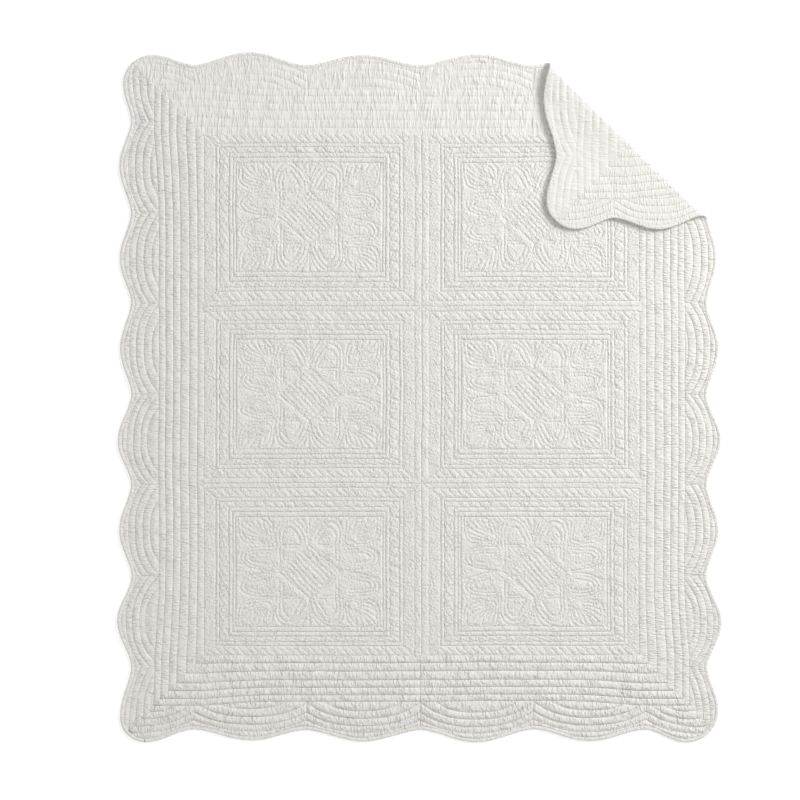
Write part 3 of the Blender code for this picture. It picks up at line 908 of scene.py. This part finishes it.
def edge_points(step):
    """Points round the scalloped edge, anticlockwise, evenly spaced, with the way inwards at each."""
    rough = []
    for index, side in enumerate(SIDES):
        before, after = SIDES[index - 1], SIDES[(index + 1) % 4]
        other_before, other_after = corner_insets(index - 1, side)[1], corner_insets(index, side)[1]
        r0, r1 = CORNERS[index - 1].radius * MM, CORNERS[index].radius * MM
        start = -(side_distance(before) - other_before - r0)
        end = side_distance(after) - other_after - r1
        s = np.linspace(start, end, 1200, endpoint=False)
        out = scallop_out(index, s)
        own = corner_insets(index, side)[0]
        turn = np.linspace(0, np.pi / 2, 60, endpoint=False)
        s = np.concatenate([s, end + r1 * np.sin(turn)])
        out = np.concatenate([out, side_distance(side) - own - r1 * (1 - np.cos(turn))])
        rough.append(np.stack(from_side(s, out, side.turn), 1))
    points = np.concatenate(rough)
    closed = np.concatenate([points, points[:1]])
    length = np.concatenate([[0], np.cumsum(np.hypot(*np.diff(closed, axis=0).T))])
    count = int(length[-1] / step)
    at = np.linspace(0, length[-1], count, endpoint=False)
    even = np.stack([np.interp(at, length, closed[:, k]) for k in range(2)], 1)
    run = np.roll(even, -1, 0) - np.roll(even, 1, 0)
    run /= np.hypot(*run.T)[:, None]
    return even, np.stack([-run[:, 1], run[:, 0]], 1), at


# Binding's section: inset from the edge and height, in mm, anticlockwise from its inner lower edge
BINDING_SECTION = ((9.3, 0.0), (6.2, 0.0), (3.0, 0.05), (1.1, 0.5), (0.2, 1.5), (0.0, 2.5), (0.5, 3.6),
                   (1.6, 4.4), (3.4, 4.85), (5.4, 4.8), (7.4, 4.4), (8.8, 3.95), (9.4, 3.4), (9.0, 3.35),
                   (1.4, 3.35), (1.4, 1.2), (9.3, 1.2))


def binding_piece(material):
    """The strip folded round the edge, a little gathered along its length."""
    even, inward, at = edge_points(3.4 * MM)
    gather = 1 + 0.1 * noise(at / (7 * MM), 0 * at, 61) + 0.07 * noise(at / (31 * MM), 0 * at, 62)
    rows, uvs = [], []
    for inset, height in BINDING_SECTION:
        place = even + inward * inset * MM
        top = height > 2.5
        lift = height * MM * (gather if top and inset < 9 else 1)
        rows.append(lay(place[:, 0], place[:, 1], lift + 0 * at))
        uvs.append(np.stack([at, np.full(at.shape, (height * 2 - inset) * MM)], 1))
    count, sections = len(even), len(rows)
    faces = []
    for k in range(sections):
        j = (k + 1) % sections
        for i in range(count):
            n = (i + 1) % count
            faces.append([k * count + i, j * count + i, j * count + n, k * count + n])
    points = np.concatenate(rows)
    return mesh_object("Bound_edge", points.tolist(), faces, np.concatenate(uvs), material)


def stitch_shape():
    """One stitch: a short rounded bar of thread."""
    mesh = bpy.data.meshes.new("stitch_shape")
    rings = ((-1.0, 0.35), (-0.72, 0.9), (0.0, 1.0), (0.72, 0.9), (1.0, 0.35))
    sides = 6
    turns = [math.tau * k / sides for k in range(sides)]
    points = [(STITCH_HALF * x, THREAD_RADIUS * r * math.cos(turn), THREAD_RADIUS * r * math.sin(turn))
              for x, r in rings for turn in turns]
    faces = []
    for i in range(len(rings) - 1):
        for k in range(sides):
            n = (k + 1) % sides
            faces.append([i * sides + k, i * sides + n, (i + 1) * sides + n, (i + 1) * sides + k])
    faces += [list(range(sides))[::-1], [(len(rings) - 1) * sides + k for k in range(sides)]]
    mesh.from_pydata(points, [], faces)
    mesh.shade_smooth()
    made = bpy.data.objects.new("stitch_shape", mesh)
    bpy.context.scene.collection.objects.link(made)
    return made


def stitch_tree(material, shape):
    """Sets a stitch every so often along a line, turned to follow it."""
    sockets = (("Line", "NodeSocketGeometry"), ("Spacing", "NodeSocketFloat"),
               ("Unevenness", "NodeSocketFloat"), ("Seed", "NodeSocketInt"))
    results = (("Stitches", "NodeSocketGeometry"),)
    tree, given, result = group("Stitching", sockets, results, "GeometryNodeTree")
    curve = node(tree, "GeometryNodeMeshToCurve", {0: given["Line"]}).outputs[0]
    spaced = {"Curve": curve, "Length": given["Spacing"]}
    even = node(tree, "GeometryNodeResampleCurve", spaced, mode="LENGTH").outputs[0]
    tangent = node(tree, "GeometryNodeInputTangent").outputs[0]
    turned = node(tree, "FunctionNodeAlignRotationToVector", {"Vector": tangent}, axis="X").outputs[0]
    chance = node(tree, "FunctionNodeRandomValue", {"Seed": given["Seed"]}, data_type="FLOAT").outputs[1]
    span = maths(tree, "MULTIPLY", maths(tree, "SUBTRACT", chance, 0.5), given["Unevenness"])
    size = maths(tree, "ADD", 1.0, span)
    bar = node(tree, "GeometryNodeObjectInfo", {"Object": shape}).outputs["Geometry"]
    placed = node(tree, "GeometryNodeInstanceOnPoints", {"Points": even, "Instance": bar, "Rotation": turned,
                                                         "Scale": size}).outputs[0]
    solid = node(tree, "GeometryNodeRealizeInstances", {0: placed}).outputs[0]
    painted = node(tree, "GeometryNodeSetMaterial", {"Geometry": solid, "Material": material}).outputs[0]
    tree.links.new(painted, result[0])
    return tree


def stitched_line(name, points, tree, values, material):
    """A row of stitches along a closed line, as a plain mesh."""
    count = len(points)
    mesh = bpy.data.meshes.new(name + "_line")
    mesh.from_pydata(points, [(i, (i + 1) % count) for i in range(count)], [])
    carrier = bpy.data.objects.new(name + "_line", mesh)
    bpy.context.scene.collection.objects.link(carrier)
    sewing = carrier.modifiers.new("Stitching", "NODES")
    sewing.node_group = tree
    for item in tree.interface.items_tree:
        if item.item_type == "SOCKET" and item.in_out == "INPUT" and item.name in values:
            sewing[item.identifier] = values[item.name]
    ready = carrier.evaluated_get(bpy.context.evaluated_depsgraph_get())
    made = bpy.data.meshes.new_from_object(ready)
    bpy.data.objects.remove(carrier)
    made.name = name
    made.materials.clear()
    made.materials.append(material)
    piece = bpy.data.objects.new(name, made)
    bpy.context.scene.collection.objects.link(piece)
    return piece


def binding_stitches(material):
    """The seam that holds the binding on: a row of stitches near its inner edge, on the face."""
    even, inward, at = edge_points(2.0 * MM)
    shape = stitch_shape()
    tree = stitch_tree(material, shape)
    place = even + inward * STITCH_INSET
    sewn = lay(place[:, 0], place[:, 1], STITCH_HEIGHT + 0 * at)
    values = {"Spacing": STITCH_SPACING, "Unevenness": 0.25, "Seed": 4}
    row = stitched_line("Binding_stitches", sewn.tolist(), tree, values, material)
    bpy.data.objects.remove(shape)
    return row


def camera():
    """Straight above the throw, at the photograph's framing."""
    data = bpy.data.cameras.new("Camera")
    data.lens, data.sensor_width = 120, 36
    view_width = PHOTO_ACROSS * PHOTO_SCALE
    made = bpy.data.objects.new("Camera", data)
    height = view_width * data.lens / data.sensor_width
    made.location = (PHOTO_MIDDLE[0] - CENTRE[0], PHOTO_MIDDLE[1] - CENTRE[1], height)
    bpy.context.scene.collection.objects.link(made)
    bpy.context.scene.camera = made


def area_light(name, place, size, power):
    data = bpy.data.lights.new(name, "AREA")
    data.shape, data.size, data.energy = "DISK", size, power
    made = bpy.data.objects.new(name, data)
    made.location = place
    made.rotation_euler = (-Vector(place)).to_track_quat("-Z", "Y").to_euler()
    bpy.context.scene.collection.objects.link(made)


def studio():
    """A pale floor, soft light from all round, a low key light at the upper right and a weaker fill."""
    world = bpy.data.worlds.new("Studio")
    world.use_nodes = True
    world.node_tree.nodes["Background"].inputs["Color"].default_value = (1, 1, 1, 1)
    world.node_tree.nodes["Background"].inputs["Strength"].default_value = 0.46
    bpy.context.scene.world = world
    bpy.context.scene.view_settings.view_transform = "Standard"
    area_light("Key", (4.0, 2.5, 2.5), 2.2, 240)
    area_light("Fill", (-3.5, -2.5, 4.5), 3.0, 60)
    bm = bmesh.new()
    bmesh.ops.create_grid(bm, x_segments=1, y_segments=1, size=12)
    bmesh.ops.translate(bm, vec=(0, 0, -0.5 * MM), verts=bm.verts[:])
    mesh = bpy.data.meshes.new("Floor")
    bm.to_mesh(mesh)
    bm.free()
    floor = bpy.data.objects.new("Floor", mesh)
    look = plain_paint("floor_paint", (0.9, 0.9, 0.9), 0.9)
    shader = look.node_tree.nodes["Principled BSDF"]
    shader.inputs["Emission Color"].default_value = (1, 1, 1, 1)
    shader.inputs["Emission Strength"].default_value = 0.35
    mesh.materials.append(look)
    bpy.context.scene.collection.objects.link(floor)


def main():
    creases, weave = crinkle_group(), weave_group()
    quilt = cotton("quilted_cotton", (0.846, 0.824, 0.788), 0.9, creases, weave, True)
    tape = cotton("binding_cotton", (0.855, 0.835, 0.80), 0.85, creases, weave, False)
    border = border_piece(quilt)
    blocks = [block_piece(row, column, quilt) for row in (-1, 0, 1) for column in (-0.5, 0.5)]
    binding = binding_piece(tape)
    thread = cotton("binding_thread", (0.86, 0.84, 0.805), 0.7, creases, weave, False)
    stitches = binding_stitches(thread)
    for piece in [border, *blocks]:
        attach(piece, "root")
        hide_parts("quilted_cloth")
    for piece in (binding, stitches):
        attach(piece, "root")
        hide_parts("edge_binding")
    studio()
    camera()


main()
